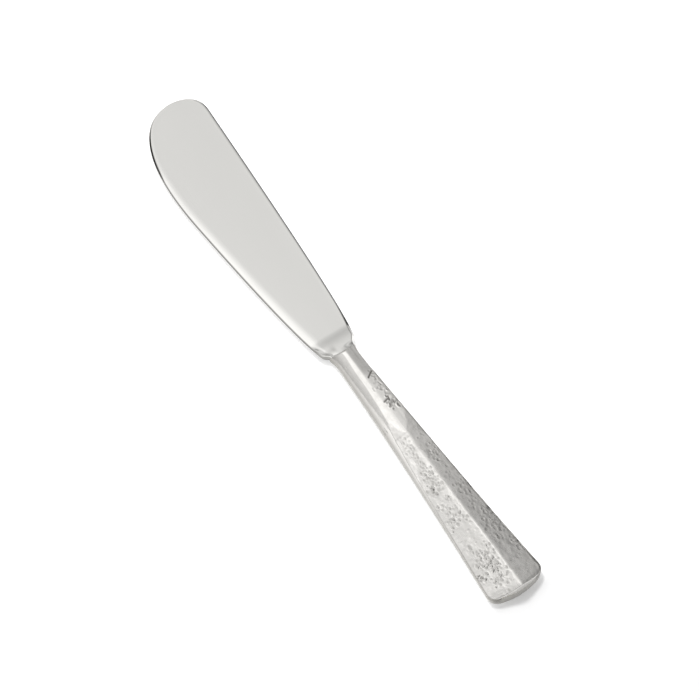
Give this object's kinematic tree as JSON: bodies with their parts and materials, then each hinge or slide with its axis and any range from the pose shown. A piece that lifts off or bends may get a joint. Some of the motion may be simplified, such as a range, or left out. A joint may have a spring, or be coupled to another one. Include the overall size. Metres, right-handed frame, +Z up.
{
  "type": "butter knife",
  "caption": "Butter knife with a broad round-ended polished blade and a slim-necked hollow handle that flares into a faceted, ridged and lightly pitted grip.",
  "frame": {"origin": "on the flat back at the handle's mouth, where the centre line of the handle meets the blade's bolster", "axes": "+X along the knife from the handle to the blade's tip, +Y towards the cutting edge's side, +Z up from the flat back to the ridge"},
  "size_m": [0.17, 0.0226, 0.0065],
  "materials": {
    "blade_steel": "polished",
    "handle_steel": "polished over a finely pitted forging",
    "braze": "satin",
    "cement": "matte"
  },
  "bodies": {
    "root": {"blade": "blade_steel", "handle_front": "handle_steel", "handle_back": "handle_steel", "seam_braze": "braze", "filler": "cement"}
  },
  "joints": []
}
